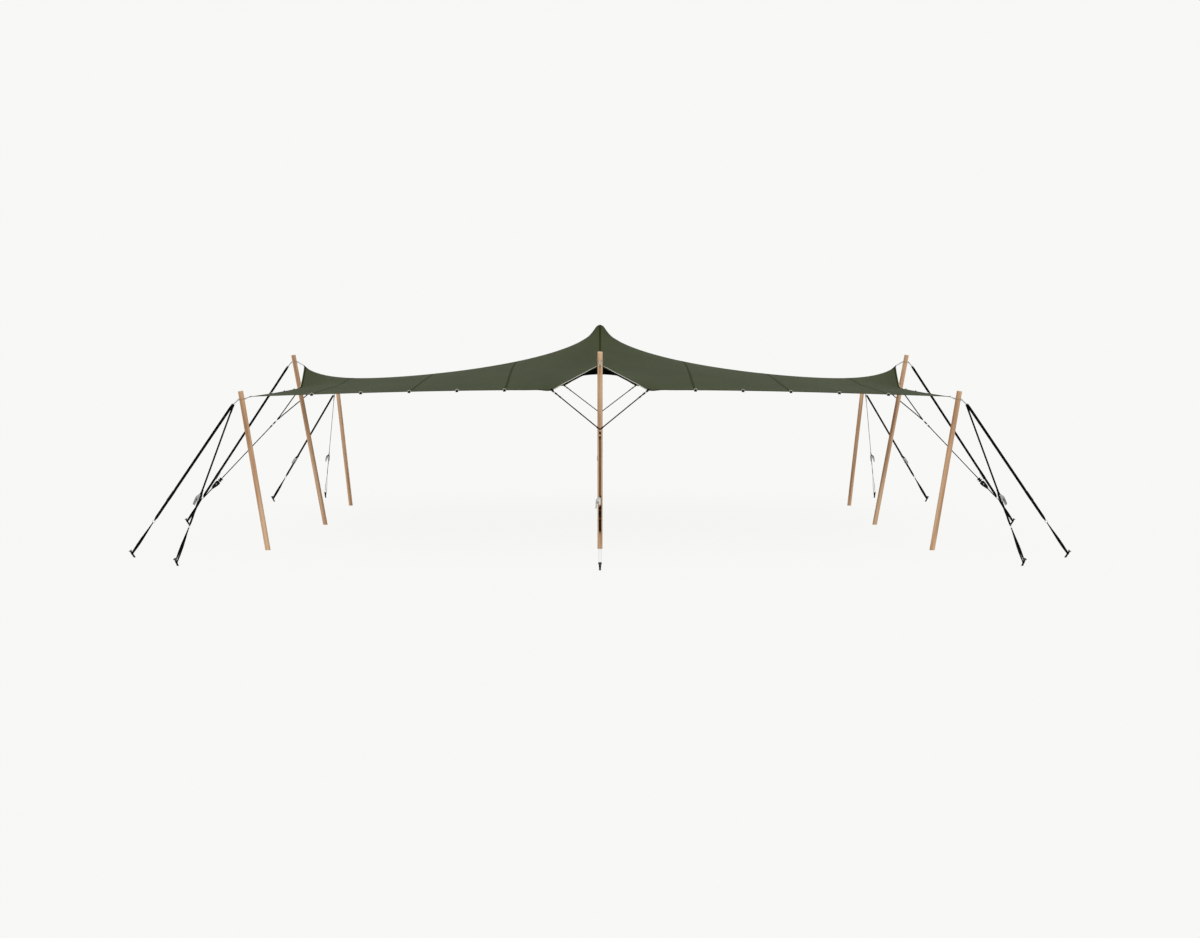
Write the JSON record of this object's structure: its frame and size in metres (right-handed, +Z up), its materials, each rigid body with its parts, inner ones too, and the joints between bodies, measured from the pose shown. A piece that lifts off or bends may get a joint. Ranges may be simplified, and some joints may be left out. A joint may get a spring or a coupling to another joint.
{
  "type": "stretch tent",
  "caption": "Pitched stretch tent: an open-sided curved fabric canopy on leaning wooden poles, held out by webbing guys, ratchets and ground stakes.",
  "frame": {"origin": "on the ground under the centre pole", "axes": "+X along the tent's length, +Y from its front to its back, +Z up"},
  "size_m": [16.052, 13.082, 3.8425],
  "materials": {
    "canopy_fabric": "matte stretch knit, olive green",
    "pole_wood": "planed round timber, thin clear oil",
    "link_steel": "galvanised, light grey",
    "black_webbing": "matte woven polyester webbing, black",
    "stake_steel": "dark mill scale, worn"
  },
  "bodies": {
    "root": {"bridle_back": "black_webbing", "bridle_front": "black_webbing", "bridle_left": "black_webbing", "bridle_right": "black_webbing", "canopy": "canopy_fabric", "guy_back": "black_webbing", "guy_back_left_back": "black_webbing", "guy_back_left_side": "black_webbing", "guy_back_right_back": "black_webbing", "guy_back_right_side": "black_webbing", "guy_front": "black_webbing", "guy_front_left_front": "black_webbing", "guy_front_left_side": "black_webbing", "guy_front_right_front": "black_webbing", "guy_front_right_side": "black_webbing", "guy_left": "black_webbing", "guy_right": "black_webbing", "link_back": "link_steel", "link_back_left": "link_steel", "link_back_right": "link_steel", "link_front": "link_steel", "link_front_left": "link_steel", "link_front_right": "link_steel", "link_left": "link_steel", "link_right": "link_steel", "pole_back": "pole_wood", "pole_back_left": "pole_wood", "pole_back_right": "pole_wood", "pole_centre": "pole_wood", "pole_centre_cap": "pole_wood", "pole_front": "pole_wood", "pole_front_left": "pole_wood", "pole_front_right": "pole_wood", "pole_left": "pole_wood", "pole_right": "pole_wood", "stake_back": "stake_steel", "stake_back_left_back": "stake_steel", "stake_back_left_side": "stake_steel", "stake_back_right_back": "stake_steel", "stake_back_right_side": "stake_steel", "stake_front": "stake_steel", "stake_front_left_front": "stake_steel", "stake_front_left_side": "stake_steel", "stake_front_right_front": "stake_steel", "stake_front_right_side": "stake_steel", "stake_left": "stake_steel", "stake_right": "stake_steel"}
  },
  "joints": []
}
